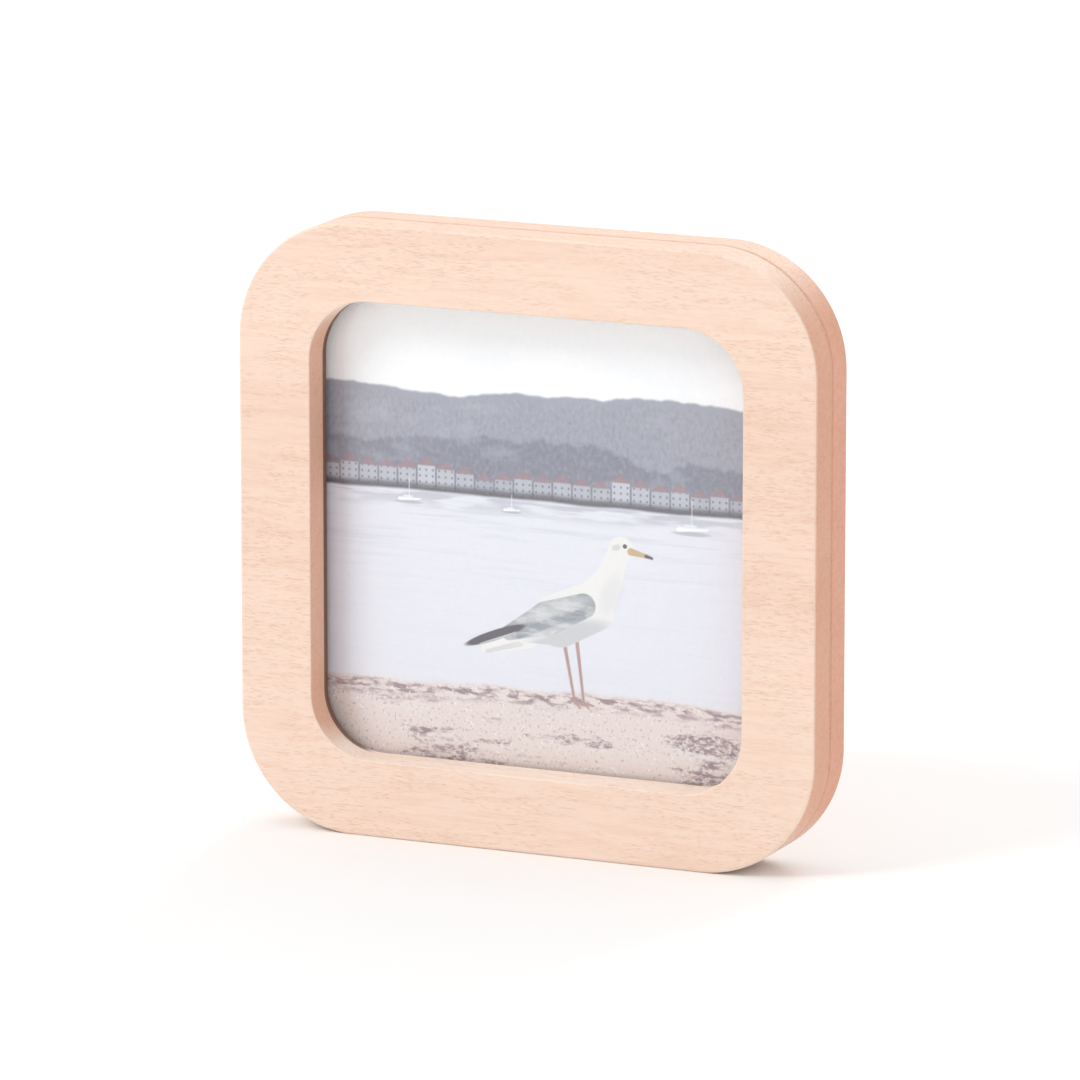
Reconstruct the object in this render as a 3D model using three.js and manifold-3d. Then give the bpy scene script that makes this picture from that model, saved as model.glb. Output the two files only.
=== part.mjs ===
// A square wooden picture frame made of two milled boards: a front board with a window and
// a back plate with a shallow pocket for the glazing, the print and a white card.
// Four countersunk wood screws hold the plate, and a keyhole in it hangs the frame.
//
// Units are millimetres and +Z is up. The origin is the middle of the footprint, on the surface
// that the frame stands on. The front faces -Y and the back faces +Y.

import * as THREE from "three";
import { mergeVertices } from "three/addons/utils/BufferGeometryUtils.js";
import Module from "manifold-3d";

// Overall outline, shared by both boards
const FRAME_WIDTH = 128;
const FRAME_HEIGHT = 128;
const OUTER_CORNER_RADIUS = 25;
const EDGE_EASE = 0.7; // rounding sanded onto every outer edge

// Boards
const FRONT_THICKNESS = 8.3;
const BACK_THICKNESS = 8;
const SEAM_GAP = 0.1; // air left between the two boards

// Window
const BORDER_WIDTH = 16; // wood left on each side of the window
const WINDOW_CORNER_RADIUS = 13;

// Sheets behind the window
const SHEET_OVERLAP = 2; // how far a sheet reaches behind the border on each side
const GLAZING_THICKNESS = 1;
const PRINT_THICKNESS = 0.25;
const CARD_THICKNESS = 0.35;
const SHEET_GAP = 0.05; // air left on each face of a sheet

// Pocket in the back plate
const POCKET_CLEARANCE = 0.7; // air left around the edges of the sheets
const POCKET_CORNER_RADIUS = 2;

// Keyhole
const KEYHOLE_TOP_MARGIN = 5.2; // wood left above the slot
const KEYHOLE_SLOT_WIDTH = 6.2;
const KEYHOLE_HOLE_DIAMETER = 11.6;
const KEYHOLE_DROP = 5.9; // from the slot's upper end down to the middle of the round hole

// Screws
const SCREW_SIDE_INSET = 6; // from the left or right edge to the screw's axis
const SCREW_END_INSET = 22.5; // from the top or bottom edge to the screw's axis
const SCREW_DIAMETER = 3.5;
const SCREW_HEAD_DIAMETER = 7;
const SCREW_HEAD_RIM = 0.4; // straight edge of the head above its cone
const SCREW_TIP_LENGTH = 2.2;
const SCREW_TIP_DIAMETER = 0.6;
const SCREW_SUNK = 0.5; // how far the head lies below the back face
const SCREW_BITE = 5.5; // how far the screw goes into the front board
const SCREW_CLEARANCE = 0.3; // air left around the screw in both boards
const DRIVE_LENGTH = 4.2; // one arm of the cross recess, tip to tip
const DRIVE_WIDTH = 1.1;
const DRIVE_DEPTH = 1.6;

// How finely round shapes are divided
const CORNER_STEPS = 14;
const EASE_STEPS = 2;
const ROUND_STEPS = 32;
const OVERCUT = 1; // how far a cutter reaches past the face that it opens

// Places worked out from the sizes
const depth = FRONT_THICKNESS + SEAM_GAP + BACK_THICKNESS;
const frontFace = -depth / 2;
const frontBoardRear = frontFace + FRONT_THICKNESS;
const backPlateFront = frontBoardRear + SEAM_GAP;
const backFace = depth / 2;
const middleHeight = FRAME_HEIGHT / 2;
const windowWidth = FRAME_WIDTH - 2 * BORDER_WIDTH;
const windowHeight = FRAME_HEIGHT - 2 * BORDER_WIDTH;
const sheetWidth = windowWidth + 2 * SHEET_OVERLAP;
const sheetHeight = windowHeight + 2 * SHEET_OVERLAP;
const sheetThicknesses = [GLAZING_THICKNESS, PRINT_THICKNESS, CARD_THICKNESS];
const pocketDepth = sheetThicknesses.reduce((sum, t) => sum + t + SHEET_GAP, SHEET_GAP);
const screwLength = BACK_THICKNESS + SEAM_GAP + SCREW_BITE - SCREW_SUNK;
const screwX = FRAME_WIDTH / 2 - SCREW_SIDE_INSET;
const screwZ = FRAME_HEIGHT / 2 - SCREW_END_INSET;

const wasm = await Module();
wasm.setup();

const wood = { color: 0xf3cfae, roughness: 0.62, metalness: 0 };
const acrylic = { color: 0xeef3f5, roughness: 0.08, metalness: 0 };
const paper = { color: 0xe9e8ee, roughness: 0.55, metalness: 0 };
const card = { color: 0xf6f4ef, roughness: 0.85, metalness: 0 };
const zinc = { color: 0xc3c5c8, roughness: 0.28, metalness: 1 };

// Solids and meshes

function toSolid(geometry) {
  const bare = geometry.clone();
  bare.deleteAttribute("normal");
  bare.deleteAttribute("uv");
  const merged = mergeVertices(bare, 1e-4);
  return new wasm.Manifold(
    new wasm.Mesh({
      numProp: 3,
      vertProperties: new Float32Array(merged.attributes.position.array),
      triVerts: new Uint32Array(merged.index.array),
    }),
  );
}

function toGeometry(solid) {
  const mesh = solid.getMesh();
  const geometry = new THREE.BufferGeometry();
  geometry.setAttribute("position", new THREE.BufferAttribute(mesh.vertProperties, 3));
  geometry.setIndex(new THREE.BufferAttribute(mesh.triVerts, 1));
  geometry.computeVertexNormals();
  return geometry;
}

function named(name, geometry, look) {
  const mesh = new THREE.Mesh(geometry, new THREE.MeshStandardMaterial(look));
  mesh.name = name;
  return mesh;
}

// Outlines, drawn in the plane of the frame with their middle at (0, 0)

function roundedRectangle(width, height, radius, Kind = THREE.Shape) {
  const right = width / 2;
  const top = height / 2;
  const outline = new Kind();
  outline.moveTo(radius - right, -top);
  outline.lineTo(right - radius, -top);
  outline.absarc(right - radius, radius - top, radius, -Math.PI / 2, 0);
  outline.lineTo(right, top - radius);
  outline.absarc(right - radius, top - radius, radius, 0, Math.PI / 2);
  outline.lineTo(radius - right, top);
  outline.absarc(radius - right, top - radius, radius, Math.PI / 2, Math.PI);
  outline.lineTo(-right, radius - top);
  outline.absarc(radius - right, radius - top, radius, Math.PI, 1.5 * Math.PI);
  return outline;
}

// A slot with a round upper end at (0, 0), running down into a round hole.
function keyholeOutline() {
  const slotRadius = KEYHOLE_SLOT_WIDTH / 2;
  const holeRadius = KEYHOLE_HOLE_DIAMETER / 2;
  const neckAngle = Math.acos(slotRadius / holeRadius);
  const outline = new THREE.Shape();
  outline.absarc(0, 0, slotRadius, 0, Math.PI);
  outline.absarc(0, -KEYHOLE_DROP, holeRadius, Math.PI - neckAngle, 2 * Math.PI + neckAngle);
  return outline;
}

// Stands an outline up and gives it thickness, from y = start towards +Y.
function slab(outline, start, thickness, ease = 0) {
  const geometry = new THREE.ExtrudeGeometry(outline, {
    depth: thickness - 2 * ease,
    curveSegments: CORNER_STEPS,
    bevelEnabled: ease > 0,
    bevelThickness: ease,
    bevelSize: ease,
    bevelOffset: -ease,
    bevelSegments: EASE_STEPS,
  });
  geometry.rotateX(Math.PI / 2);
  geometry.translate(0, start + thickness - ease, 0);
  return geometry;
}

// Turns a profile of [radius, distance along Y] pairs about the Y axis.
function turned(profile) {
  const points = profile.map(([radius, along]) => new THREE.Vector2(radius, along));
  return new THREE.LatheGeometry(points, ROUND_STEPS);
}

// Screws, with the top of the head at y = 0 and the tip towards -Y

const headConeDepth = (SCREW_HEAD_DIAMETER - SCREW_DIAMETER) / 2;

function screwBody() {
  const headRadius = SCREW_HEAD_DIAMETER / 2;
  const shankRadius = SCREW_DIAMETER / 2;
  return toSolid(
    turned([
      [0, -screwLength],
      [SCREW_TIP_DIAMETER / 2, -screwLength],
      [shankRadius, SCREW_TIP_LENGTH - screwLength],
      [shankRadius, -SCREW_HEAD_RIM - headConeDepth],
      [headRadius, -SCREW_HEAD_RIM],
      [headRadius, 0],
      [0, 0],
    ]),
  );
}

function driveRecess() {
  const arm = () => new THREE.BoxGeometry(DRIVE_LENGTH, DRIVE_DEPTH + OVERCUT, DRIVE_WIDTH);
  const recess = toSolid(arm()).add(toSolid(arm().rotateY(Math.PI / 2)));
  return recess.translate([0, (OVERCUT - DRIVE_DEPTH) / 2, 0]);
}

// The room that a screw needs in both boards, in the same frame as the screw.
function screwSeat() {
  const boreRadius = SCREW_DIAMETER / 2 + SCREW_CLEARANCE;
  const sinkRadius = SCREW_HEAD_DIAMETER / 2 + SCREW_CLEARANCE;
  const coneEnd = -SCREW_HEAD_RIM - headConeDepth - SCREW_CLEARANCE;
  return toSolid(
    turned([
      [0, -screwLength - SCREW_CLEARANCE],
      [boreRadius, -screwLength - SCREW_CLEARANCE],
      [boreRadius, coneEnd],
      [sinkRadius, coneEnd + sinkRadius - boreRadius],
      [sinkRadius, SCREW_SUNK + OVERCUT],
      [0, SCREW_SUNK + OVERCUT],
    ]),
  );
}

// Left and right are as seen from the back.
const screwPlaces = [
  { name: "screw_top_left", x: screwX, z: middleHeight + screwZ, turn: 0.6 },
  { name: "screw_top_right", x: -screwX, z: middleHeight + screwZ, turn: 0.25 },
  { name: "screw_bottom_left", x: screwX, z: middleHeight - screwZ, turn: 1.15 },
  { name: "screw_bottom_right", x: -screwX, z: middleHeight - screwZ, turn: 0.9 },
];

function cutScrewSeats(board) {
  const seat = screwSeat();
  return screwPlaces.reduce(
    (left, { x, z }) => left.subtract(seat.translate([x, backFace - SCREW_SUNK, z])),
    board,
  );
}

// Boards

function frontFrame() {
  const outline = roundedRectangle(FRAME_WIDTH, FRAME_HEIGHT, OUTER_CORNER_RADIUS);
  outline.holes.push(
    roundedRectangle(windowWidth, windowHeight, WINDOW_CORNER_RADIUS, THREE.Path),
  );
  const board = slab(outline, frontFace, FRONT_THICKNESS, EDGE_EASE);
  return toGeometry(cutScrewSeats(toSolid(board.translate(0, 0, middleHeight))));
}

function backPlate() {
  const outline = roundedRectangle(FRAME_WIDTH, FRAME_HEIGHT, OUTER_CORNER_RADIUS);
  const board = slab(outline, backPlateFront, BACK_THICKNESS, EDGE_EASE);
  const pocketOutline = roundedRectangle(
    sheetWidth + 2 * POCKET_CLEARANCE,
    sheetHeight + 2 * POCKET_CLEARANCE,
    POCKET_CORNER_RADIUS,
  );
  const pocket = slab(pocketOutline, backPlateFront - OVERCUT, pocketDepth + OVERCUT);
  const slotEnd = FRAME_HEIGHT - KEYHOLE_TOP_MARGIN - KEYHOLE_SLOT_WIDTH / 2;
  const keyhole = slab(keyholeOutline(), backPlateFront - OVERCUT, BACK_THICKNESS + 2 * OVERCUT);
  const plate = toSolid(board.translate(0, 0, middleHeight))
    .subtract(toSolid(pocket.translate(0, 0, middleHeight)))
    .subtract(toSolid(keyhole.translate(0, 0, slotEnd)));
  return toGeometry(cutScrewSeats(plate));
}

// Sheets, each behind the one before it

function sheet(index) {
  const before = sheetThicknesses.slice(0, index);
  const start = before.reduce((place, t) => place + t + SHEET_GAP, backPlateFront + SHEET_GAP);
  const thickness = sheetThicknesses[index];
  const geometry = new THREE.BoxGeometry(sheetWidth, thickness, sheetHeight);
  return geometry.translate(0, start + thickness / 2, middleHeight);
}

const frame = new THREE.Group();
frame.add(named("front_frame", frontFrame(), wood));
frame.add(named("back_plate", backPlate(), wood));
frame.add(named("glazing", sheet(0), acrylic));
frame.add(named("photo_print", sheet(1), paper));
frame.add(named("backing_card", sheet(2), card));

const screwGeometry = toGeometry(screwBody().subtract(driveRecess()));
for (const { name, x, z, turn } of screwPlaces) {
  const screw = named(name, screwGeometry.clone(), zinc);
  screw.position.set(x, backFace - SCREW_SUNK, z);
  screw.rotation.y = turn;
  frame.add(screw);
}

export default frame;
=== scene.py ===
"""Looks of a square wooden photo frame.

Two beech boards hold a clear pane, a print and a white card between them. Four countersunk
screws close the back, which has a keyhole to hang the frame by and a small burnt mark.
Lengths are metres, the front faces -Y and the frame stands on z = 0.
"""

import logging
import math
from dataclasses import dataclass
from enum import Enum
from typing import TypeVar

import bmesh
import bpy
from mathutils import Matrix, Vector


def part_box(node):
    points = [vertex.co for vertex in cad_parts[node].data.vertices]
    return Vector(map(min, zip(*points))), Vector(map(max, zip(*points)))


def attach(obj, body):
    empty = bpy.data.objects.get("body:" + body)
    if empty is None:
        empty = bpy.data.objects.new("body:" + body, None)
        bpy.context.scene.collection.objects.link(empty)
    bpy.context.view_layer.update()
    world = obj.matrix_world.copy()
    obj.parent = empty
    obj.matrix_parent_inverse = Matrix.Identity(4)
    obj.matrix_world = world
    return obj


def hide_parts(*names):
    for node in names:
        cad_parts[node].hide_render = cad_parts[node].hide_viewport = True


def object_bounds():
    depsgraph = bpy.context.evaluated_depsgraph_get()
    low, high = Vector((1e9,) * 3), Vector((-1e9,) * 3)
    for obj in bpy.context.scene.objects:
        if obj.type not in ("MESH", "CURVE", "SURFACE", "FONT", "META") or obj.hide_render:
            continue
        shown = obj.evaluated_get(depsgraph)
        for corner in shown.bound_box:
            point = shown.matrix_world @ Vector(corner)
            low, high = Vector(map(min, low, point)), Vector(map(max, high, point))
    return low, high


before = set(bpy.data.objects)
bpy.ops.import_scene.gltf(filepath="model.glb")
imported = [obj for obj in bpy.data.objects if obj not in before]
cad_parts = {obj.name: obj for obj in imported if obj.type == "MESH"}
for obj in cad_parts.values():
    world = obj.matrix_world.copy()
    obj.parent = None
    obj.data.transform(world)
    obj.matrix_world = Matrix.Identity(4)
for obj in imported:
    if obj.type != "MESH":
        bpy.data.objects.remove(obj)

MM = 0.001
QUARTER_TURN = math.pi / 2
CAD_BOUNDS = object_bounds()

Point = tuple[float, float]
Tint = tuple[float, float, float]
Knot = tuple[float, float, float]
Loop = list[Vector | tuple[float, float, float]]
Material = bpy.types.Material
Piece = bpy.types.Object
Socket = bpy.types.NodeSocket
Shade = Tint | Socket
Feeds = dict[str | int, object]
Thing = TypeVar("Thing")

log = logging.getLogger("photo_frame")


def tint(*levels: int) -> Tint:
    """Turns a screen colour, from 0 to 255, into the linear shares from 0 to 1 that shaders use."""
    shares = [level / 255 for level in levels]
    return tuple(s / 12.92 if s <= 0.04045 else ((s + 0.055) / 1.055) ** 2.4 for s in shares)


def adjust(thing: Thing, **settings: object) -> Thing:
    """Sets several properties of a node, a modifier, a lamp, a camera or an object.

    Args:
        thing: What to adjust.
        settings: The properties and their values.

    Returns:
        The same thing.
    """
    for name, value in settings.items():
        setattr(thing, name, value)
    return thing


# Shader nodes


class Blend(Enum):
    """How a second colour is laid over a first."""

    COVER = "MIX"
    STAIN = "MULTIPLY"


class Field:
    """A number at every point of a surface, worked out by shader nodes."""

    def __init__(self, surface: "Surface", socket: Socket) -> None:
        """Keeps the surface and the socket that gives the number."""
        self.surface = surface
        self.socket = socket

    def combine(self, operation: str, other: "Field | float" = 0.0) -> "Field":
        """Joins this number with another in one Math node of the operation that is named."""
        return self.surface.field("Math", {0: self, 1: other}, operation=operation)

    def __add__(self, other: "Field | float") -> "Field":
        """Adds a number."""
        return self.combine("ADD", other)

    def __sub__(self, other: "Field | float") -> "Field":
        """Takes a number away."""
        return self.combine("SUBTRACT", other)

    def __mul__(self, other: "Field | float") -> "Field":
        """Multiplies by a number."""
        return self.combine("MULTIPLY", other)

    def __truediv__(self, other: "Field | float") -> "Field":
        """Divides by a number."""
        return self.combine("DIVIDE", other)

    def size(self) -> "Field":
        """Drops the sign."""
        return self.combine("ABSOLUTE")

    def repeat(self) -> "Field":
        """Keeps the part after the decimal point, so that a pattern repeats."""
        return self.combine("FRACT")

    def most(self, other: "Field | float") -> "Field":
        """Takes the larger of two numbers."""
        return self.combine("MAXIMUM", other)

    def fade(self, start: float, end: float) -> "Field":
        """Goes smoothly from 0 where the number is at start to 1 where it is at end."""
        feeds = {"Value": self, "From Min": start, "From Max": end}
        return self.surface.field("MapRange", feeds, interpolation_type="SMOOTHSTEP")


Number = Field | float


class Surface:
    """One material, built up as shader nodes that end in a Principled shader."""

    def __init__(self, name: str) -> None:
        """Makes the material with its shader, its output and its coordinates.

        Args:
            name: The material's name.
        """
        self.material = bpy.data.materials.new(name)
        self.material.use_nodes = True
        self.tree = self.material.node_tree
        self.tree.nodes.clear()
        self.shader = self.node("BsdfPrincipled")
        self.output = self.node("OutputMaterial", {"Surface": self.shader.outputs["BSDF"]})
        coordinates = self.node("TexCoord").outputs
        self.facing = coordinates["Normal"]
        self.x, self.y, self.z = self.parts(coordinates["Object"])

    def node(self, kind: str, feeds: Feeds | None = None, **settings: object) -> bpy.types.Node:
        """Adds a node.

        Args:
            kind: Blender's name for the type of node, without ShaderNode before it.
            feeds: What its inputs get, by name or number.
            settings: Properties to set on it first.

        Returns:
            The new node.
        """
        made = adjust(self.tree.nodes.new(f"ShaderNode{kind}"), **settings)
        for key, value in (feeds or {}).items():
            self.feed(made.inputs[key], value)
        return made

    def field(self, kind: str, feeds: Feeds, **settings: object) -> Field:
        """Adds a node and gives its first output as a field."""
        return Field(self, self.node(kind, feeds, **settings).outputs[0])

    def feed(self, socket: Socket, value: object) -> None:
        """Gives an input its value.

        Args:
            socket: The input.
            value: A field, an output socket, a number, or a colour of three numbers.
        """
        source = value.socket if isinstance(value, Field) else value
        if isinstance(source, Socket):
            self.tree.links.new(source, socket)
        elif isinstance(source, tuple) and socket.type == "RGBA":
            socket.default_value = (*source, 1.0)
        else:
            socket.default_value = source

    def parts(self, vector: Socket) -> tuple[Field, ...]:
        """Splits a vector into its three numbers."""
        split = self.node("SeparateXYZ", {0: vector})
        return tuple(Field(self, output) for output in split.outputs)

    def noise(self, x: Number, y: Number, z: Number, detail: float = 2.0, rough: float = 0.5) -> Field:
        """Adds noise with features about one unit across.

        Args:
            x: Where to read the noise across.
            y: Where to read it in depth.
            z: Where to read it in height.
            detail: How many finer layers it has.
            rough: How strong the finer layers are.

        Returns:
            A field around 0.5.
        """
        at = self.node("CombineXYZ", {0: x, 1: y, 2: z}).outputs[0]
        feeds = {"Vector": at, "Scale": 1.0, "Detail": detail, "Roughness": rough}
        return self.field("TexNoise", feeds)

    def lay(self, under: Shade, over: Shade, share: Number, how: Blend = Blend.COVER) -> Shade:
        """Lays a share, from 0 to 1, of a second colour over a first, as a cover or as a stain."""
        feeds = {0: share, 6: under, 7: over}  # 6 and 7, and 2 below, are the node's colours
        return self.node("Mix", feeds, data_type="RGBA", blend_type=how.value).outputs[2]

    def set(self, **values: object) -> None:
        """Sets inputs of the Principled shader, with spaces written as underscores."""
        for name, value in values.items():
            self.feed(self.shader.inputs[name.replace("_", " ")], value)

    def raise_grain(self, height: Field, depth: float) -> None:
        """Gives the surface relief, in which a height of 1 stands so far above 0."""
        bump = self.node("Bump", {"Distance": depth, "Height": height})
        self.set(Normal=bump.outputs["Normal"])


# Finishes


@dataclass(frozen=True)
class BeechFinish:
    """Sanded and oiled beech with its grain along X."""

    name: str
    node: str  # the board that it is for
    inner_side: int  # which way the board's unsanded inner face looks: 1 for +Y, -1 for -Y
    cut: float  # where in the log the board was cut, which shifts the whole pattern
    face: Tint
    band: Tint
    # painted light: a lighter tone on the window's walls, so they look brightly lit
    painted_wall_light: Tint
    fibre: Tint
    fleck: Tint
    # end grain is darker wood, and this tone darkens it further as painted shade on the side faces
    end_grain_and_shade: Tint
    # colour of the painted shade band on the walls next to the inner face
    rim: Tint
    fleck_share: float
    # inner faces: raw wood, darkened further as painted shade for the recess seen through the keyhole
    raw_wood_and_shade: Tint = (0.84, 0.66, 0.56)
    joint: Tint = (0.90, 0.82, 0.78)
    # eased edges: lighter from wear, and partly a painted highlight where they catch the light
    edge: Tint = (1.0, 0.84, 0.70)
    sway: float = 4 * MM
    window: float = 53 * MM  # the sheets bear on the board this far from its middle; the painted wall light and the painted shade band stay within it
    joint_width: float = 0.8 * MM
    shade_band_width: float = 2.1 * MM  # how far from the inner face the painted shade band on the cut walls reaches, where the gap round the sheets lies in shadow
    relief: float = 0.05 * MM

    def make(self) -> Material:
        """Builds the wood: slow bands, fine fibres, short dark flecks, darker ends that are partly painted
        shade, painted light on the window walls, a painted shade band and lighter edges.

        Returns:
            The material.
        """
        low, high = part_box(self.node)
        inner_face = high.y if self.inner_side > 0 else low.y
        wood = Surface(self.name)
        along = wood.x + self.cut
        sway = wood.noise(along * 9, wood.y * 30, wood.z * 16)
        across = wood.z + sway * self.sway
        bands = wood.noise(along * 4, wood.y * 40, across * 60, 3.0)
        streaks = wood.noise(along * 75, wood.y * 700, across * 900, 3.0, 0.6)
        fibres = wood.noise(along * 300, wood.y * 2600, across * 3600, 2.0, 0.6)
        flecks = wood.noise(along * 640, wood.y * 1500, across * 4300, 0.5)
        scatter = wood.noise(along * 60, wood.y * 200, across * 160, 1.0)
        marks = flecks.fade(0.6, 0.68) * scatter.fade(0.25, 0.55)

        normal_x, normal_y, _ = wood.parts(wood.facing)
        out = wood.x.size().most((wood.z - (low.z + high.z) / 2).size())
        reach = out.fade(self.window + MM, self.window)
        ends = normal_x.size().fade(0.5, 0.97)
        walls = normal_y.size().fade(0.5, 0.2) * reach
        inward = normal_y * self.inner_side
        edges = inward.fade(-0.05, -0.4) * inward.fade(-0.985, -0.85)
        inner = inward.fade(0.8, 0.98)
        depth = (wood.y - inner_face) * self.inner_side
        joint = depth.fade(-self.joint_width, -self.joint_width / 3)
        # painted shade: a dark band on the cut walls next to the inner face, for the shadowed gap round the
        # sheets and in the pocket and keyhole
        rim = depth.fade(-self.shade_band_width, -self.shade_band_width * 0.85)
        darkening = rim * normal_x.size().fade(0.1, 0.4) * reach

        colour = wood.lay(self.face, self.band, bands.fade(0.35, 0.7))
        # painted light: the window's walls lightened as though lit from above
        colour = wood.lay(colour, self.painted_wall_light, walls * 0.7)
        # tones multiplied over the wood: real stains, except that the rim tone is painted shade and the
        # end-grain and inner-face tones are partly painted shade
        for stain_and_shade, share in (
            (self.fibre, streaks.fade(0.42, 0.66) * 0.6),
            (self.fibre, fibres.fade(0.4, 0.7) * 0.4),
            (self.fleck, marks * self.fleck_share),
            (self.end_grain_and_shade, ends),
            (self.joint, joint),
            (self.rim, darkening),
            (self.raw_wood_and_shade, inner),
        ):
            colour = wood.lay(colour, stain_and_shade, share, Blend.STAIN)
        # lighter eased edges: partly wear, partly painted highlight
        colour = wood.lay(colour, self.edge, edges * 0.22)

        roughness = fibres * 0.2 + ends * 0.1 + inner * 0.15 - edges * 0.1 + 0.45
        wood.set(Base_Color=colour, Roughness=roughness, IOR=1.48)
        wood.raise_grain(streaks * 0.4 + fibres * 0.4 - marks * 0.5 + 0.4, self.relief)
        return wood.material


@dataclass(frozen=True)
class BurntFinish:
    """Wood scorched by a hot stamp."""

    name: str
    pale: Tint
    dark: Tint
    relief: float = 0.04 * MM

    def make(self) -> Material:
        """Builds the scorched wood, darker where the stamp pressed harder.

        Returns:
            The material.
        """
        wood = Surface(self.name)
        pressed = wood.noise(wood.x * 150, wood.y * 150, wood.z * 150)
        fibres = wood.noise(wood.x * 200, wood.y * 1500, wood.z * 1700)
        darkening = (pressed * 0.6 + fibres * 0.4).fade(0.35, 0.65)
        wood.set(Base_Color=wood.lay(self.pale, self.dark, darkening), Roughness=fibres * 0.2 + 0.6)
        wood.raise_grain(fibres, self.relief)
        return wood.material


@dataclass(frozen=True)
class ClearFinish:
    """Polished clear sheet."""

    name: str
    body: Tint
    shine: Tint
    head_on: float  # share of the light that each face mirrors straight back
    gloss: float

    def make(self) -> Material:
        """Builds a sheet that shows what is behind it and mirrors more the further it is tilted.

        Returns:
            The material.
        """
        sheet = Surface(self.name)
        haze = sheet.noise(sheet.x * 60, sheet.y * 60, sheet.z * 60, 3.0)
        wipes = sheet.noise(sheet.x * 25 + sheet.z * 18, sheet.y * 9, sheet.z * 400)
        roughness = haze.fade(0.5, 0.8) * 0.05 + wipes * 0.03 + self.gloss
        sheet.set(Base_Color=self.shine, Roughness=roughness, Metallic=1.0)
        clear = sheet.node("BsdfTransparent", {"Color": self.body})
        tilt = Field(sheet, sheet.node("LayerWeight").outputs["Facing"])
        mirrored = tilt.combine("POWER", 5.0) * (1 - self.head_on) + self.head_on
        both = sheet.node("MixShader", {0: mirrored, 1: clear.outputs[0], 2: sheet.shader.outputs[0]})
        sheet.feed(sheet.output.inputs["Surface"], both.outputs[0])
        return sheet.material


@dataclass(frozen=True)
class CardFinish:
    """Uncoated white paper or card."""

    name: str
    sheet: Tint
    fibre: Tint
    relief: float = 0.03 * MM

    def make(self) -> Material:
        """Builds paper with faint fibres and a slight tooth.

        Returns:
            The material.
        """
        card = Surface(self.name)
        pulp = card.noise(card.x * 900, card.y * 900, card.z * 900, 4.0, 0.6)
        cloud = card.noise(card.x * 40, card.y * 40, card.z * 40)
        colour = card.lay(self.sheet, self.fibre, pulp.fade(0.4, 0.7) * 0.7 + cloud * 0.3)
        card.set(Base_Color=colour, Roughness=pulp * 0.15 + 0.75)
        card.raise_grain(pulp, self.relief)
        return card.material


@dataclass(frozen=True)
class ZincFinish:
    """Bright zinc plate on a turned and rolled steel screw whose axis is the piece's Y."""

    name: str
    bright: Tint
    dull: Tint
    # colour laid inside the cross recess to make it darker
    recess_tone: Tint
    recess_radius: float = 2.1 * MM
    recess_depth: float = 0.9 * MM
    relief: float = 0.008 * MM

    def make(self) -> Material:
        """Builds the plate with fine turning rings, dull patches and scratches.

        Returns:
            The material.
        """
        plate = Surface(self.name)
        radius = (plate.x * plate.x + plate.z * plate.z).combine("POWER", 0.5)
        rings = plate.noise(radius * 5200, plate.y * 60, 0.0, 1.0)
        patches = plate.noise(plate.x * 450, plate.y * 450, plate.z * 450)
        wear = plate.noise(plate.x * 3000, plate.y * 300, plate.z * 300)
        scratches = wear.fade(0.62, 0.72) * patches.fade(0.45, 0.6)
        deep = plate.y.fade(-0.15 * MM, -self.recess_depth)
        recess = deep * radius.fade(self.recess_radius + 0.3 * MM, self.recess_radius)
        colour = plate.lay(self.bright, self.dull, patches.fade(0.45, 0.8) * 0.5 + scratches * 0.3)
        # darker inside the cross recess
        colour = plate.lay(colour, self.recess_tone, recess * 0.6)
        roughness = patches * 0.12 + rings * 0.08 + scratches * 0.15 + 0.16
        plate.set(Base_Color=colour, Roughness=roughness, Metallic=1.0)
        plate.raise_grain(rings * 0.6 + patches * 0.2 - scratches * 0.4, self.relief)
        return plate.material


@dataclass(frozen=True)
class StageFinish:
    """The plain pale floor."""

    name: str
    floor: Tint
    darkest: float = 0.985  # the mottle's darkest share of the floor's colour

    def make(self) -> Material:
        """Builds a matt floor with a hardly visible mottle.

        Returns:
            The material.
        """
        stage = Surface(self.name)
        mottle = stage.noise(stage.x * 8, stage.y * 8, 0.0, 3.0)
        darker = tuple(self.darkest * share for share in self.floor)
        colour = stage.lay(self.floor, darker, mottle)
        stage.set(Base_Color=colour, Roughness=mottle * 0.1 + 0.8, Specular_IOR_Level=0.1)
        return stage.material


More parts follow.
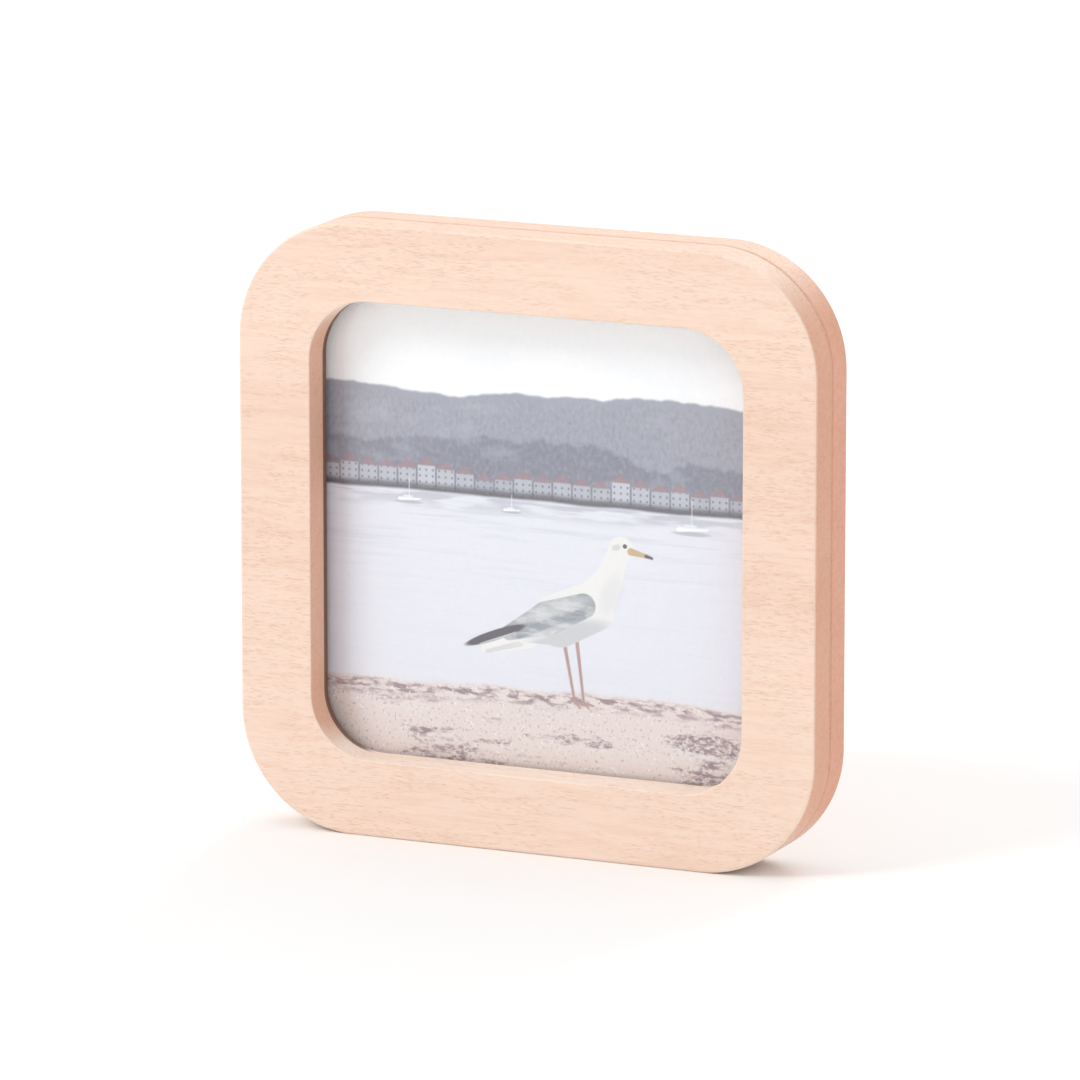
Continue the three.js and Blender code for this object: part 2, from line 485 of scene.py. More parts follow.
@dataclass
class Drawing:
    """A picture painted onto a standing sheet in layers, with both of its sides one unit long."""

    name: str
    node: str  # the part of the frame that it covers

    def __post_init__(self) -> None:
        """Starts with the bare sheet."""
        low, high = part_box(self.node)
        self.surface = Surface(self.name)
        self.across = (self.surface.x - low.x) / (high.x - low.x)
        self.up = (self.surface.z - low.z) / (high.z - low.z)
        self.colour: Shade = (1.0, 1.0, 1.0)

    def paint(self, where: Field, colour: Tint) -> None:
        """Paints a colour wherever the mask is above 0."""
        self.colour = self.surface.lay(self.colour, colour, where)

    def noise(self, across: float, up: float, detail: float = 3.0, rough: float = 0.5) -> Field:
        """Reads noise that has so many features across and up the picture."""
        at = (self.across * across + 3.1, self.up * up + 7.7, across * 0.37)
        return self.surface.noise(*at, detail, rough)

    def oval(self, centre: Point, radii: Point, turn: float, blur: float) -> Field:
        """Makes an oval mask.

        Args:
            centre: Its middle.
            radii: Half its length and half its height.
            turn: How far its length is turned up from level, in radians.
            blur: How soft its edge is, as a share of its size.

        Returns:
            A field that is 1 inside and 0 outside.
        """
        across = self.across - centre[0]
        up = self.up - centre[1]
        along = (across * math.cos(turn) + up * math.sin(turn)) / radii[0]
        aside = (up * math.cos(turn) - across * math.sin(turn)) / radii[1]
        return (along * along + aside * aside).fade(1 + blur, 1 - blur)

    def stroke(self, start: Knot, end: Knot, blur: float = 0.0015) -> Field:
        """Makes the mask of a brush stroke that may get thinner along its way.

        Args:
            start: How far across and up it starts, and half its thickness there.
            end: The same where it ends.
            blur: Half the width of its soft edge.

        Returns:
            A field that is 1 inside and 0 outside.
        """
        run, rise, growth = (last - first for first, last in zip(start, end))
        across = self.across - start[0]
        up = self.up - start[1]
        along = ((across * run + up * rise) / (run * run + rise * rise)).most(0.0).combine("MINIMUM", 1.0)
        aside = across - along * run
        above = up - along * rise
        distance = (aside * aside + above * above).combine("POWER", 0.5)
        return (distance - (along * growth + start[2])).fade(blur, -blur)


@dataclass
class ShorePrint(Drawing):
    """A made-up seaside picture printed on lustre paper: sky, hills, houses, water, a bird, sand."""

    sky: Tint = tint(250, 250, 252)
    haze: Tint = tint(234, 236, 242)
    far_hill: Tint = tint(163, 164, 178)
    near_hill: Tint = tint(132, 133, 150)
    wall: Tint = tint(208, 210, 220)
    roof: Tint = tint(172, 134, 138)
    water: Tint = tint(232, 232, 241)
    ripple: Tint = tint(206, 208, 222)
    sand: Tint = tint(233, 220, 217)
    pebble: Tint = tint(150, 128, 132)
    weed: Tint = tint(136, 104, 118)
    feather: Tint = tint(240, 238, 238)
    wing: Tint = tint(164, 170, 178)
    dark: Tint = tint(92, 88, 96)
    leg: Tint = tint(184, 150, 146)
    bill: Tint = tint(206, 176, 138)
    back: Tint = tint(240, 240, 241)
    lustre: Tint = (0.86, 0.86, 0.88)
    relief: float = 0.006 * MM

    def make(self) -> Material:
        """Builds the picture from the sky down to the bird, then the gloss of the paper.

        Returns:
            The material.
        """
        self.draw_sky()
        self.draw_hills()
        self.draw_houses()
        self.draw_water()
        self.draw_boats()
        self.draw_sand()
        self.draw_bird()
        paper = self.surface
        _, normal_y, _ = paper.parts(paper.facing)
        self.paint(normal_y.fade(-0.3, 0.1), self.back)
        grain = self.noise(420, 420, 2.0)
        colour = paper.lay(self.colour, self.lustre, grain.fade(0.35, 0.8) * 0.5, Blend.STAIN)
        paper.set(Base_Color=colour, Roughness=grain * 0.12 + 0.3)
        paper.raise_grain(grain, self.relief)
        return paper.material

    def draw_sky(self) -> None:
        """Draws a pale sky with thin haze."""
        self.colour = self.sky
        self.paint(self.noise(3, 9).fade(0.5, 0.8) * 0.35, self.haze)

    def draw_hills(self) -> None:
        """Draws a far range of hills and a nearer wooded slope in front of it."""
        ridge = self.noise(3.2, 0) * 0.09 + self.noise(40, 0) * 0.010 + 0.745
        self.paint((ridge - self.up).fade(-0.004, 0.004), self.far_hill)
        slope = self.noise(5, 0, 2.0) * 0.12 + self.noise(60, 0) * 0.028 + 0.615
        self.paint((slope - self.up).fade(-0.006, 0.006) * 0.8, self.near_hill)
        below = (ridge - self.up).fade(0.0, 0.02)
        trees = self.noise(130, 75, 3.0, 0.65)
        fields = self.noise(9, 16, 3.0, 0.6)
        self.paint(trees.fade(0.45, 0.75) * below * 0.25, self.dark)
        self.paint(fields.fade(0.5, 0.7) * below * 0.22, self.wall)
        self.paint(trees.fade(0.5, 0.3) * below * 0.14, self.wall)

    def draw_houses(self) -> None:
        """Draws a terrace of small houses with low roofs along the shore."""
        plots, floors, eaves, foot = 23.0, 78, 0.598, 0.582
        plot = self.across * plots
        inside = (plot.repeat() - 0.5).size()
        kind = self.surface.noise(plot.combine("FLOOR") * 3.7, 0.0, 0.0, 0.0)
        top = kind * 0.045 + eaves
        gable = top + (inside * -0.034 + 0.017)
        body = inside.fade(0.48, 0.42) * (self.up - foot).fade(0.0, 0.004)
        body = body * (top - self.up).fade(-0.002, 0.003)
        roof = inside.fade(0.5, 0.46) * (self.up - top).fade(-0.002, 0.002)
        roof = roof * (gable - self.up).fade(-0.002, 0.002)
        panes = ((self.across * (plots * 3)).repeat() - 0.5).size().fade(0.2, 0.1)
        rows = ((self.up * floors).repeat() - 0.5).size().fade(0.25, 0.15)
        self.paint(body * (kind * 0.9 + 0.2), self.wall)
        self.paint(roof * (kind * 0.5 + 0.4), self.roof)
        self.paint(body * panes * rows * 0.6, self.dark)
        self.paint((inside.fade(0.48, 0.5) * body.fade(0.0, 0.5)) * 0.5, self.dark)

    def draw_water(self) -> None:
        """Draws calm water with faint ripples and a dark line where it meets the shore."""
        below = self.noise(6, 0, 2.0) * 0.012 + 0.572 - self.up
        self.paint(below.fade(-0.02, -0.008) * 0.8, self.dark)
        self.paint(below.fade(-0.003, 0.005), self.water)
        ripples = self.noise(4, 90).fade(0.5, 0.75)
        self.paint(ripples * (below.fade(0.22, 0.0) * 0.6 + 0.12) * below.fade(0.0, 0.01), self.ripple)
        mirror = self.noise(9, 60, 2.0).fade(0.42, 0.6) * below.fade(0.05, 0.008)
        self.paint(mirror * below.fade(0.0, 0.006) * 0.5, self.far_hill)

    def draw_boats(self) -> None:
        """Draws a few moored boats with low cabins, bare masts and a shadow on the water."""
        for x, z, long in ((0.20, 0.557, 0.028), (0.43, 0.553, 0.020), (0.83, 0.546, 0.038)):
            shadow = self.oval((x, z - long * 0.2), (long * 1.1, long * 0.12), 0.0, 0.6)
            top, bow = z + long * 0.2, z + long * 0.08
            hull = self.stroke((x - long * 0.75, z, long * 0.13), (x + long * 0.9, bow, long * 0.06))
            cabin = self.stroke((x - long * 0.35, top, long * 0.12), (x + long * 0.2, top, long * 0.1))
            mast = self.stroke((x, z, 0.0009), (x + 0.001, z + long * 1.6, 0.0006))
            self.paint(shadow * 0.6, self.far_hill)
            self.paint(hull, self.sky)
            self.paint(cabin * 0.9, self.haze)
            self.paint(mast * 0.7, self.sky)

    def draw_sand(self) -> None:
        """Draws a beach of speckled sand with patches of weed."""
        depth = self.noise(4, 0) * 0.035 + self.noise(40, 0, 2.0) * 0.012 + 0.158 - self.up
        beach = depth.fade(-0.004, 0.006)
        strand = depth.fade(0.0, 0.01) * depth.fade(0.045, 0.02)
        clumps = self.noise(5, 19, 4.0, 0.68).fade(0.53, 0.62)
        tangle = self.noise(70, 120, 3.0, 0.7).fade(0.35, 0.6)
        self.paint(beach, self.sand)
        self.paint(beach * self.noise(5, 22).fade(0.5, 0.72) * 0.4, self.feather)
        self.paint(beach * self.noise(170, 130).fade(0.57, 0.7) * 0.5, self.pebble)
        self.paint(strand * self.noise(30, 90).fade(0.42, 0.62) * 0.8, self.weed)
        self.paint(beach * clumps * tangle * depth.fade(0.02, 0.05) * 0.85, self.weed)
        self.paint(beach * self.noise(150, 120, 2.0).fade(0.63, 0.7) * 0.6, self.sky)

    def draw_bird(self) -> None:
        """Draws a plain shore bird that stands on the sand and looks to the right."""
        for hip, foot in ((0.548, 0.572), (0.577, 0.592)):
            self.paint(self.stroke((hip, 0.29, 0.0042), (foot, 0.166, 0.0028)), self.leg)
            self.paint(self.stroke((foot, 0.165, 0.003), (foot + 0.022, 0.160, 0.0022)), self.leg)
            self.paint(self.stroke((foot, 0.165, 0.003), (foot + 0.012, 0.153, 0.0018)), self.leg)
        self.paint(self.stroke((0.47, 0.290, 0.022), (0.372, 0.259, 0.011)), self.feather)
        self.paint(self.stroke((0.45, 0.276, 0.006), (0.375, 0.253, 0.004)) * 0.35, self.wing)
        outline = ((0.455, 0.300, 0.022), (0.535, 0.332, 0.056), (0.608, 0.366, 0.052),
                   (0.646, 0.424, 0.032), (0.664, 0.474, 0.024), (0.674, 0.492, 0.028))
        shade = self.oval((0.556, 0.300), (0.098, 0.028), 0.30, 0.6) * 0.5
        for start, end in zip(outline, outline[1:]):
            body = self.stroke(start, end)
            self.paint(body, self.feather)
            self.paint(body * shade, self.wing)
        self.paint(self.oval((0.652, 0.395), (0.022, 0.045), -0.3, 0.8) * 0.14, self.wing)
        fold = ((0.592, 0.368, 0.026), (0.510, 0.334, 0.036), (0.425, 0.297, 0.016))
        barbs = self.noise(45, 190, 2.0).fade(0.42, 0.62)
        scallops = self.noise(26, 60, 1.0).fade(0.5, 0.6)
        for start, end in zip(fold, fold[1:]):
            wing = self.stroke(start, end)
            self.paint(wing, self.wing)
            self.paint(wing * scallops * 0.35, self.feather)
            self.paint(wing * barbs * 0.22, self.dark)
        self.paint(self.oval((0.520, 0.352), (0.085, 0.014), 0.36, 0.9) * 0.45, self.feather)
        self.paint(self.oval((0.500, 0.300), (0.070, 0.008), 0.40, 0.9) * 0.5, self.feather)
        tips = self.oval((0.394, 0.289), (0.072, 0.0105), 0.37, 0.25)
        self.paint(tips, self.dark)
        self.paint(tips * self.stroke((0.440, 0.297, 0.003), (0.360, 0.268, 0.001)) * 0.7, self.feather)
        self.paint(self.stroke((0.696, 0.490, 0.0078), (0.742, 0.481, 0.0028)), self.bill)
        self.paint(self.stroke((0.730, 0.4835, 0.0038), (0.743, 0.4800, 0.0026)), self.dark)
        self.paint(self.oval((0.664, 0.496), (0.010, 0.006), 0.3, 0.8) * 0.4, self.wing)
        self.paint(self.oval((0.683, 0.500), (0.0048, 0.0048), 0.0, 0.3), self.dark)


# Meshes


def arc(radius: float, start: float, sweep: float, steps: int, middle: Point = (0.0, 0.0)) -> list[Point]:
    """Lists points along an arc that starts so far round from the right and sweeps on, in radians."""
    turns = [start + sweep * step / steps for step in range(steps + 1)]
    return [(middle[0] + radius * math.cos(t), middle[1] + radius * math.sin(t)) for t in turns]


def circle(radius: float, steps: int) -> list[Point]:
    """Lists points round a circle."""
    return arc(radius, 0.0, math.tau, steps)[:-1]


def place(data: bpy.types.ID) -> Piece:
    """Puts a mesh, a lamp or a camera in the scene.

    Args:
        data: What the new object shows.

    Returns:
        The object, which takes its name from the data.
    """
    made = bpy.data.objects.new(data.name, data)
    bpy.context.scene.collection.objects.link(made)
    return made


def aim(data: bpy.types.ID, start: Vector, target: Vector) -> Piece:
    """Puts a lamp or a camera in the scene at its start and turns it to its target."""
    turn = (target - start).to_track_quat("-Z", "Y")
    return adjust(place(data), location=start, rotation_mode="QUATERNION", rotation_quaternion=turn)


def skin(name: str, loops: list[Loop], look: Material, ring: bool = False) -> Piece:
    """Makes a closed piece by joining each loop of points to the next.

    Args:
        name: The piece's name.
        loops: The loops, each with as many points.
        look: The piece's material.
        ring: Whether the last loop joins the first. If not, a face closes each of them.

    Returns:
        The new piece.
    """
    mesh = bmesh.new()
    rows = [[mesh.verts.new(point) for point in loop] for loop in loops]
    following = rows[1:] + rows[:1] if ring else rows[1:]
    for first, second in zip(rows, following):
        for here, (a, b) in enumerate(zip(first, second)):
            after = (here + 1) % len(first)
            mesh.faces.new((a, first[after], second[after], b))
    if not ring:
        mesh.faces.new(rows[0])
        mesh.faces.new(rows[-1])
    bmesh.ops.recalc_face_normals(mesh, faces=mesh.faces)
    data = bpy.data.meshes.new(name)
    mesh.to_mesh(data)
    mesh.free()
    data.materials.append(look)
    return place(data)


def settle_modifiers(piece: Piece) -> None:
    """Turns what a piece's modifiers show into its own mesh.

    Args:
        piece: The piece.
    """
    shown = piece.evaluated_get(bpy.context.evaluated_depsgraph_get())
    old, piece.data = piece.data, bpy.data.meshes.new_from_object(shown)
    piece.modifiers.clear()
    bpy.data.meshes.remove(old)


def carve(piece: Piece, *cutters: Piece) -> None:
    """Cuts shapes out of a piece and removes the cutters.

    Args:
        piece: The piece to cut.
        cutters: Closed shapes. The walls of a cut take the cutter's material.
    """
    for cutter in cutters:
        cut = adjust(piece.modifiers.new("cut", "BOOLEAN"), operation="DIFFERENCE", solver="EXACT")
        adjust(cut, material_mode="TRANSFER", object=cutter)
    settle_modifiers(piece)
    for cutter in cutters:
        bpy.data.meshes.remove(cutter.data)


def fit(piece: Piece, node: str, body: str, crisp: float = 28.0) -> None:
    """Shades a piece and puts it in the place of a part of the frame.

    Args:
        piece: The piece.
        node: The part that it stands for.
        body: The body that carries it.
        crisp: Edges sharper than this many degrees stay crisp, and the rest look round.
    """
    piece.data.shade_smooth()
    piece.data.set_sharp_from_angle(angle=math.radians(crisp))
    adjust(piece.modifiers.new("flat faces", "WEIGHTED_NORMAL"), keep_sharp=True, weight=100)
    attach(piece, body)
    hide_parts(node)
    log.info("%s: %d faces on %s", piece.name, len(piece.data.polygons), body)


@dataclass
class Plate:
    """A standing plate or a hole in one, with round corners and its middle at x = 0."""

    low: Vector
    high: Vector
    corner: float
    ease: float = 0.0
    corner_steps: int = 40
    ease_steps: int = 6

    def loops(self, hole: bool = False) -> list[Loop]:
        """Lists the loops round the plate's edge.

        Args:
            hole: Whether it is a hole, whose eased edges flare instead.

        Returns:
            The loops, from the front face to the back face.
        """
        bend = arc(self.ease, -QUARTER_TURN, -QUARTER_TURN, self.ease_steps, (self.ease, self.ease))
        bend = bend if self.ease else [(0.0, 0.0)]
        profile = [(inset, self.low.y + deep) for inset, deep in bend]
        profile += [(inset, self.high.y - deep) for inset, deep in reversed(bend)]
        side_x = (self.high.x - self.low.x) / 2 - self.corner
        side_z = (self.high.z - self.low.z) / 2 - self.corner
        middle = (self.low.z + self.high.z) / 2
        made = []
        for inset, y in profile:
            radius = self.corner + inset if hole else self.corner - inset
            loop = []
            for quarter, (x, z) in enumerate(((1, -1), (1, 1), (-1, 1), (-1, -1))):
                start = QUARTER_TURN * (quarter - 1)
                loop += arc(radius, start, QUARTER_TURN, self.corner_steps, (x * side_x, middle + z * side_z))
            made.append([(x, y, z) for x, z in loop])
        return made


# Sub-assemblies


@dataclass
class Screw:
    """A countersunk wood screw with a cross recess, built along Y with its head's top at y = 0."""

    look: Material
    head_radius: float = 3.5 * MM
    rim: float = 0.4 * MM
    chamfer: float = 0.12 * MM
    crest_radius: float = 1.72 * MM
    root_radius: float = 1.2 * MM
    length: float = 13.1 * MM
    pitch: float = 1.35 * MM
    ridge: float = 0.3  # half the width of the thread's foot, as a share of the pitch
    point: float = 3.2 * MM
    tip_radius: float = 0.05 * MM
    plain_neck: float = 0.8 * MM
    recess_length: float = 4.3 * MM
    recess_width: float = 1.25 * MM
    recess_depth: float = 1.9 * MM
    crisp: float = 32.0
    columns: int = 48
    rows_per_turn: int = 12

    @property
    def cone_end(self) -> float:
        """Gives the place along the axis where the head's cone runs out."""
        return -self.rim - (self.head_radius - self.root_radius)

    def radius(self, y: float, turn: float) -> float:
        """Gives the screw's radius.

        Args:
            y: The place along the axis.
            turn: The angle round the axis, in radians.

        Returns:
            The radius there, with the thread on the shank.
        """
        if y >= -self.rim:
            return self.head_radius
        if y >= self.cone_end:
            return self.head_radius + y + self.rim
        to_tip = (y + self.length) / self.point
        taper = min(1.0, to_tip)
        phase = (y / self.pitch + turn / math.tau) % 1.0
        ridge = max(0.0, 1 - abs(phase - 0.5) / self.ridge)
        start = min(1.0, max(0.0, (self.cone_end - self.plain_neck - y) / self.pitch))
        height = (self.crest_radius - self.root_radius) * ridge * start * min(1.0, to_tip * 1.6)
        return self.root_radius * taper + self.tip_radius + height * (0.3 + 0.7 * taper)

    def cross(self) -> Piece:
        """Makes the tapered cross that the recess is pressed with.

        Returns:
            A closed shape to cut with.
        """
        loops = []
        for deep, long, wide in ((-0.3, 1.06, 1.1), (0.0, 1.0, 1.0), (0.75, 0.62, 0.8), (1.0, 0.3, 0.4)):
            arm = self.recess_length / 2 * long
            half = self.recess_width / 2 * wide
            corner = half * 1.4
            outline = []
            for cosine, sine in ((1, 0), (0, 1), (-1, 0), (0, -1)):
                for a, b in ((arm, half * 0.8), (corner, half), (half, corner), (half * 0.8, arm)):
                    outline.append((a * cosine - b * sine, a * sine + b * cosine))
            loops.append([(x, -self.recess_depth * deep, z) for x, z in outline])
        return skin("cross", loops, self.look)

    def build(self, name: str) -> Piece:
        """Makes the screw.

        Args:
            name: The piece's name.

        Returns:
            The finished screw.
        """
        threaded = self.length + self.cone_end
        count = round(threaded / self.pitch * self.rows_per_turn)
        rows = [-self.chamfer, -self.rim, (self.cone_end - self.rim) / 2, self.cone_end]
        rows += [self.cone_end - threaded * (row + 1) / count for row in range(count)]
        loops = [[(x, 0.0, z) for x, z in circle(self.head_radius - self.chamfer, self.columns)]]
        for y in rows:
            turns = [math.tau * column / self.columns for column in range(self.columns)]
            sides = [(self.radius(y, turn), turn) for turn in turns]
            loops.append([(r * math.cos(turn), y, r * math.sin(turn)) for r, turn in sides])
        screw = skin(name, loops, self.look)
        carve(screw, self.cross())
        return screw


@dataclass
class ScrewSet:
    """The four screws that hold the back plate."""

    screw: Screw
    turns: tuple[float, ...] = (0.55, 0.2, 1.12, 0.85)
    names: tuple[str, ...] = ("top_left", "top_right", "bottom_left", "bottom_right")
    sunk: float = 0.5 * MM
    bore_radius: float = 2.05 * MM
    gap: float = 0.1 * MM

    def places(self) -> list[Vector]:
        """Reads the middle of each head's top from the frame."""
        boxes = [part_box(f"screw_{name}") for name in self.names]
        return [Vector(((low.x + high.x) / 2, high.y, (low.z + high.z) / 2)) for low, high in boxes]

    def seats(self, look: Material) -> list[Piece]:
        """Makes the room that each screw needs in the boards.

        Args:
            look: The material of the room's walls.

        Returns:
            Closed shapes to cut with.
        """
        screw = self.screw
        sink = screw.head_radius + self.gap
        cone_end = -screw.rim - (screw.head_radius - screw.crest_radius) - self.gap
        sections = (
            (sink, self.sunk + MM),
            (sink, cone_end + sink - self.bore_radius),
            (self.bore_radius, cone_end),
            (self.bore_radius, -screw.length - self.gap),
        )
        seats = []
        for top in self.places():
            rings = [(circle(radius, screw.columns), y) for radius, y in sections]
            loops = [[top + Vector((x, y, z)) for x, z in ring] for ring, y in rings]
            seats.append(skin("seat", loops, look))
        return seats

    def build(self) -> None:
        """Makes the screws and turns each recess its own way."""
        for name, top, turn in zip(self.names, self.places(), self.turns):
            screw = self.screw.build(f"wood_screw_{name}")
            screw.matrix_world = Matrix.Translation(top) @ Matrix.Rotation(turn, 4, "Y")
            fit(screw, f"screw_{name}", f"{name}_screw", self.screw.crisp)


@dataclass
class FrontBoard:
    """The front board with its window."""

    wood: Material
    screws: ScrewSet
    corner: float = 25 * MM
    border: float = 16 * MM
    window_corner: float = 13 * MM
    ease: float = 0.7 * MM
    window_ease: float = 0.35 * MM

    def build(self) -> None:
        """Makes the board, its window and the blind holes for the screws."""
        low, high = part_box("front_frame")
        inset = Vector((self.border, 0.0, self.border))
        outside = Plate(low, high, self.corner, self.ease).loops()
        window = Plate(low + inset, high - inset, self.window_corner, self.window_ease).loops(hole=True)
        board = skin("front_board", [*outside, *reversed(window)], self.wood, ring=True)
        carve(board, *self.screws.seats(self.wood))
        fit(board, "front_frame", "front_board")


@dataclass
class BurntMark:
    """A round mark burnt into the back: a ring with a plain leaf in it."""

    look: Material
    radius: float = 8.1 * MM
    line: float = 0.5 * MM
    fine_line: float = 0.36 * MM
    vein_line: float = 0.252 * MM
    depth: float = 0.15 * MM
    foot_share: float = 0.7  # a groove's width at its foot, as a share of its width on the face
    leaf_length: float = 10.4 * MM
    leaf_width: float = 5.4 * MM
    lean: float = 0.75
    stalk: float = 1.6 * MM
    veins: tuple[float, ...] = (0.24, 0.42, 0.6)
    vein_reach: float = 0.16
    leaf_steps: int = 24
    ring_steps: int = 96

    def ribbon(self, path: list[Point], width: float, middle: Vector, closed: bool) -> Piece:
        """Makes a thin bar along a path, to cut a groove with.

        Args:
            path: The points that the groove's middle follows.
            width: The groove's width.
            middle: The mark's middle, on the face that it is cut into.
            closed: Whether the path comes back to its start.

        Returns:
            A closed shape.
        """
        last = len(path) - 1
        sections = []
        for here, (across, up) in enumerate(path):
            before = path[here - 1] if closed or here else path[0]
            after = path[here + 1] if here < last else path[0 if closed else last]
            direction = Vector((after[0] - before[0], after[1] - before[1])).normalized()
            side = Vector((-direction.y, direction.x)) * (width / 2)
            foot = side * self.foot_share
            corners = ((side, self.depth), (-side, self.depth), (-foot, -self.depth), (foot, -self.depth))
            sections.append([middle + Vector((across + s.x, y, up + s.y)) for s, y in corners])
        return skin("groove", sections, self.look, ring=closed)

    def leaned(self, path: list[Point]) -> list[Point]:
        """Leans a path drawn for an upright leaf."""
        cosine, sine = math.cos(self.lean), math.sin(self.lean)
        return [(a * cosine + b * sine, b * cosine - a * sine) for a, b in path]

    def edge(self, share: float, side: int) -> Point:
        """Gives a point so far up the leaf's right edge, for side 1, or left edge, for side -1."""
        out = self.leaf_width / 2 * math.sin(math.pi * share) ** 0.85 * (1.12 - 0.24 * share)
        return side * out, (share - 0.5) * self.leaf_length

    def cutters(self, middle: Vector) -> list[Piece]:
        """Makes the grooves of the ring, the leaf's edge, its midrib and its veins.

        Args:
            middle: The mark's middle, on the back face.

        Returns:
            Closed shapes to cut with.
        """
        shares = [step / self.leaf_steps for step in range(self.leaf_steps + 1)]
        leaf = [self.edge(s, 1) for s in shares] + [self.edge(s, -1) for s in reversed(shares[1:-1])]
        foot = -self.leaf_length / 2
        rib = [(0.0, foot - self.stalk), (0.0, foot / 2), (0.0, self.leaf_length * 0.36)]
        bars = [
            self.ribbon(circle(self.radius, self.ring_steps), self.line, middle, True),
            self.ribbon(self.leaned(leaf), self.fine_line, middle, True),
            self.ribbon(self.leaned(rib), self.fine_line, middle, False),
        ]
        for share in self.veins:
            for side in (-1, 1):
                across, up = self.edge(share + self.vein_reach, side)
                start = (share - 0.5) * self.leaf_length
                vein = [(0.0, start), (across / 2, start + (up - start) * 0.38), (across, up)]
                bars.append(self.ribbon(self.leaned(vein), self.vein_line, middle, False))
        return bars


@dataclass
class BackBoard:
    """The back plate with its pocket, its keyhole, its screw seats and its burnt mark."""

    wood: Material
    screws: ScrewSet
    mark: BurntMark
    corner: float = 25 * MM
    ease: float = 0.7 * MM
    cut_ease: float = 0.22 * MM
    cut_ease_angle: float = 40.0
    pocket_gap: float = 0.7 * MM
    pocket_corner: float = 2 * MM
    sheet_gap: float = 0.05 * MM
    keyhole_margin: float = 5.2 * MM
    slot_width: float = 6.2 * MM
    hole_width: float = 11.6 * MM
    drop: float = 5.9 * MM
    round_steps: int = 64

    def keyhole(self, low: Vector, high: Vector) -> Piece:
        """Makes the keyhole's shape: a slot with a round end that runs down into a round hole.

        Args:
            low: The plate's lowest corner.
            high: The corner across from it.

        Returns:
            A closed shape to cut with.
        """
        slot, hole = self.slot_width / 2, self.hole_width / 2
        neck = math.acos(slot / hole)
        end = high.z - self.keyhole_margin - slot
        outline = arc(slot, 0.0, math.pi, self.round_steps // 2, (0.0, end))
        outline += arc(hole, math.pi - neck, math.pi + 2 * neck, self.round_steps, (0.0, end - self.drop))
        loops = [[(x, y, z) for x, z in outline] for y in (low.y - MM, high.y + MM)]
        return skin("keyhole", loops, self.wood)

    def pocket(self, front: float) -> Piece:
        """Makes the room for the sheets, read from their places in the frame.

        Args:
            front: The y of the plate's inner face.

        Returns:
            A closed shape to cut with.
        """
        low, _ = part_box("glazing")
        _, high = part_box("backing_card")
        gap = Vector((self.pocket_gap, 0.0, self.pocket_gap))
        low, high = low - gap, high + gap
        low.y = front - MM
        high.y += self.sheet_gap
        return skin("pocket", Plate(low, high, self.pocket_corner).loops(), self.wood)

    def build(self) -> None:
        """Makes the plate, cuts it, eases the cuts and burns in the mark."""
        low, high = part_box("back_plate")
        board = skin("back_board", Plate(low, high, self.corner, self.ease).loops(), self.wood)
        carve(board, self.pocket(low.y), self.keyhole(low, high), *self.screws.seats(self.wood))
        bevel = adjust(board.modifiers.new("ease", "BEVEL"), width=self.cut_ease, segments=2)
        adjust(bevel, limit_method="ANGLE", angle_limit=math.radians(self.cut_ease_angle))
        settle_modifiers(board)
        for groove in self.mark.cutters(Vector((0.0, high.y, (low.z + high.z) / 2))):
            carve(board, groove)
        fit(board, "back_plate", "back_board")


@dataclass
class SheetStack:
    """The loose sheets behind the window: a clear pane, the print and a white card."""

    pane_look: Material
    print_look: Material
    card_look: Material
    pane_corner: float = 1.2 * MM
    paper_corner: float = 0.15 * MM
    pane_ease: float = 0.1 * MM
    paper_ease: float = 0.03 * MM

    def build(self) -> None:
        """Makes the three sheets in the places that the frame gives them."""
        pane = (self.pane_corner, self.pane_ease)
        paper = (self.paper_corner, self.paper_ease)
        for name, node, body, slot, look, (corner, ease) in (
            ("clear_pane", "glazing", "pane", "clear_acrylic", self.pane_look, pane),
            ("shore_print", "photo_print", "print", "photo_paper", self.print_look, paper),
            ("white_card", "backing_card", "card", "white_card", self.card_look, paper),
        ):
            plate = Plate(*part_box(node), corner, ease, corner_steps=6, ease_steps=2)
            fit(skin(name, plate.loops(), look), node, body)


# Studio


@dataclass
class Lamp:
    """A large soft lamp that looks at the frame."""

    name: str
    place: tuple[float, float, float]
    size: float
    power: float
    colour: Tint = (1.0, 0.985, 0.965)

    def build(self, target: Vector) -> None:
        """Hangs the lamp and turns it to its target."""
        settings = {"shape": "DISK", "size": self.size, "energy": self.power, "color": self.colour}
        aim(adjust(bpy.data.lights.new(self.name, "AREA"), **settings), Vector(self.place), target)


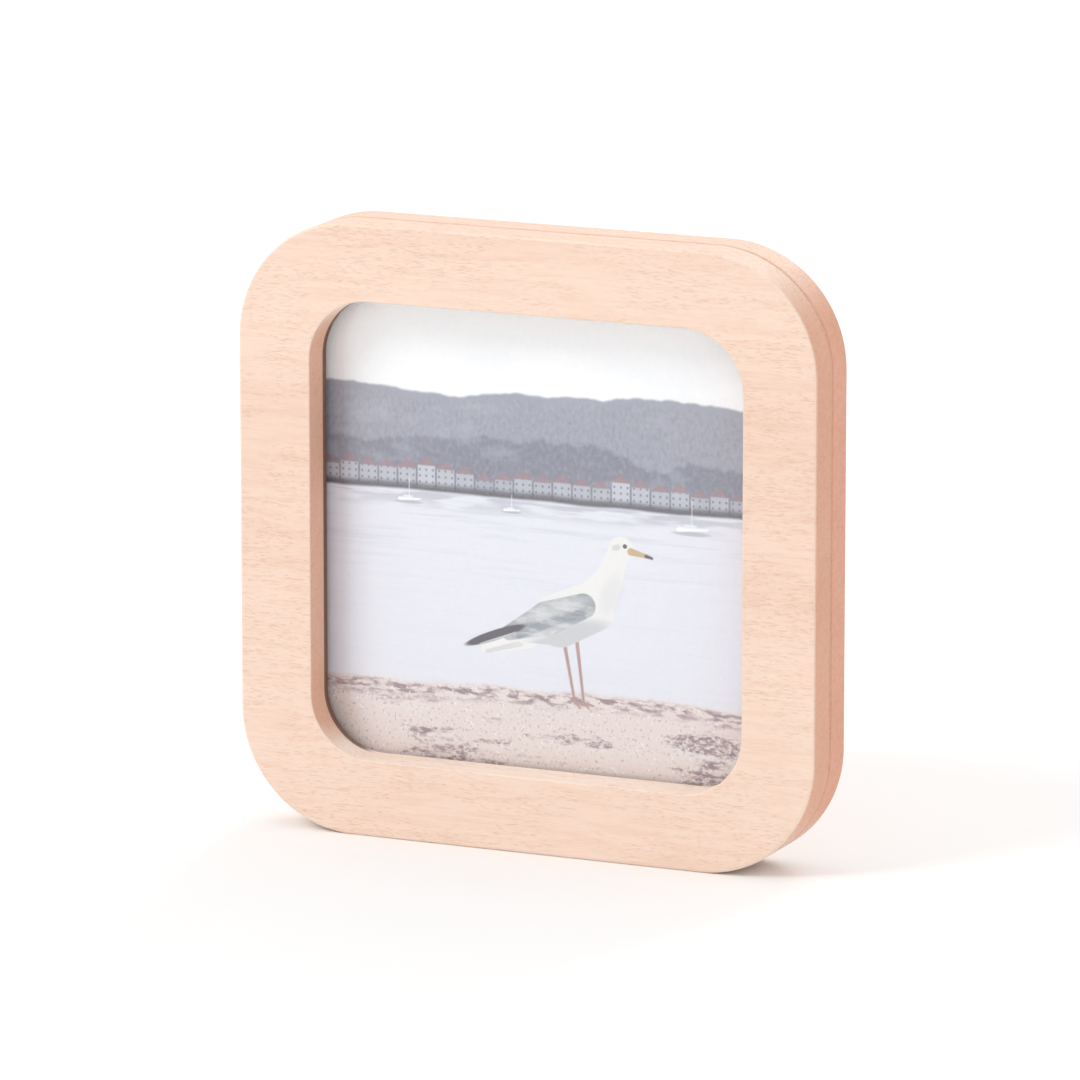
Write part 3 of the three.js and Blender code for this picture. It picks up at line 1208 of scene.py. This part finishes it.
@dataclass
class Studio:
    """A white room with soft light from the upper left, and the camera."""

    floor_look: Material
    floor_size: float = 24.0
    room_light: float = 0.92
    azimuth: float = 24.0
    elevation: float = 12.2
    distance_in_widths: float = 13.76
    lens: float = 288.0
    sight: float = 50.0

    def build(self) -> None:
        """Lays the floor, lights the room and sets up the camera."""
        low, high = CAD_BOUNDS
        middle = (low + high) / 2
        self.lay_floor()
        self.light_room()
        Lamp("key_lamp", (-1.1, -1.5, 1.7), 0.9, 18.0).build(middle)
        Lamp("rear_lamp", (0.1, 1.9, 1.7), 1.2, 14.0).build(middle)
        self.set_camera(middle, high.x - low.x)
        log.info("studio: floor, two lamps, camera")

    def lay_floor(self) -> None:
        """Lays a level floor under the frame."""
        half = self.floor_size / 2
        corners = ((-half, -half, 0), (half, -half, 0), (half, half, 0), (-half, half, 0))
        floor = bpy.data.meshes.new("floor")
        floor.from_pydata(corners, [], [range(4)])
        floor.materials.append(self.floor_look)
        place(floor)

    def light_room(self) -> None:
        """Fills the room with even white light and shows colours as they are."""
        world = bpy.data.worlds.new("white_room")
        world.use_nodes = True
        light = world.node_tree.nodes["Background"]
        light.inputs["Color"].default_value = (1.0, 1.0, 1.0, 1.0)
        light.inputs["Strength"].default_value = self.room_light
        bpy.context.scene.world = world
        bpy.context.scene.view_settings.view_transform = "Standard"

    def set_camera(self, middle: Vector, width: float) -> None:
        """Looks at the frame from the front right and a little above.

        Args:
            middle: The middle of the frame.
            width: The frame's width, which the distance goes by.
        """
        side, rise = math.radians(self.azimuth), math.radians(self.elevation)
        back = Vector((math.sin(side) * math.cos(rise), -math.cos(side) * math.cos(rise), math.sin(rise)))
        camera = adjust(bpy.data.cameras.new("camera"), lens=self.lens, clip_end=self.sight)
        bpy.context.scene.camera = aim(camera, middle + back * (self.distance_in_widths * width), middle)


def main() -> None:
    """Builds every piece of the frame, then the studio."""
    logging.basicConfig(level=logging.INFO, format="%(name)s: %(message)s")
    front_wood = BeechFinish(
        name="front_beech",
        node="front_frame",
        inner_side=1,
        cut=1.3,
        face=tint(236, 211, 194),
        band=tint(232, 204, 186),
        painted_wall_light=tint(252, 238, 226),
        fibre=(0.95, 0.89, 0.85),
        fleck=(0.80, 0.66, 0.56),
        end_grain_and_shade=(0.84, 0.60, 0.50),
        rim=(0.24, 0.19, 0.18),
        fleck_share=0.4,
    ).make()
    back_wood = BeechFinish(
        name="back_beech",
        node="back_plate",
        inner_side=-1,
        cut=4.7,
        face=tint(238, 208, 190),
        band=tint(235, 202, 183),
        painted_wall_light=tint(238, 208, 190),
        fibre=(0.95, 0.87, 0.82),
        fleck=(0.78, 0.63, 0.54),
        end_grain_and_shade=(0.84, 0.60, 0.51),
        rim=(0.80, 0.66, 0.58),
        fleck_share=0.42,
    ).make()
    burnt = BurntFinish("burnt_beech", tint(206, 150, 114), tint(174, 114, 82)).make()
    zinc = ZincFinish("bright_zinc", tint(206, 198, 190), tint(166, 160, 154), tint(120, 108, 98)).make()
    screws = ScrewSet(Screw(zinc))
    FrontBoard(front_wood, screws).build()
    BackBoard(back_wood, screws, BurntMark(burnt)).build()
    screws.build()
    SheetStack(
        pane_look=ClearFinish("clear_sheet", (0.99, 0.995, 0.995), (1.0, 1.0, 1.0), 0.035, 0.04).make(),
        print_look=ShorePrint("shore_picture", "photo_print").make(),
        card_look=CardFinish("white_paper", tint(250, 249, 248), tint(245, 244, 243)).make(),
    ).build()
    Studio(StageFinish("pale_floor", (0.93, 0.93, 0.93)).make()).build()


if __name__ == "__main__":
    main()
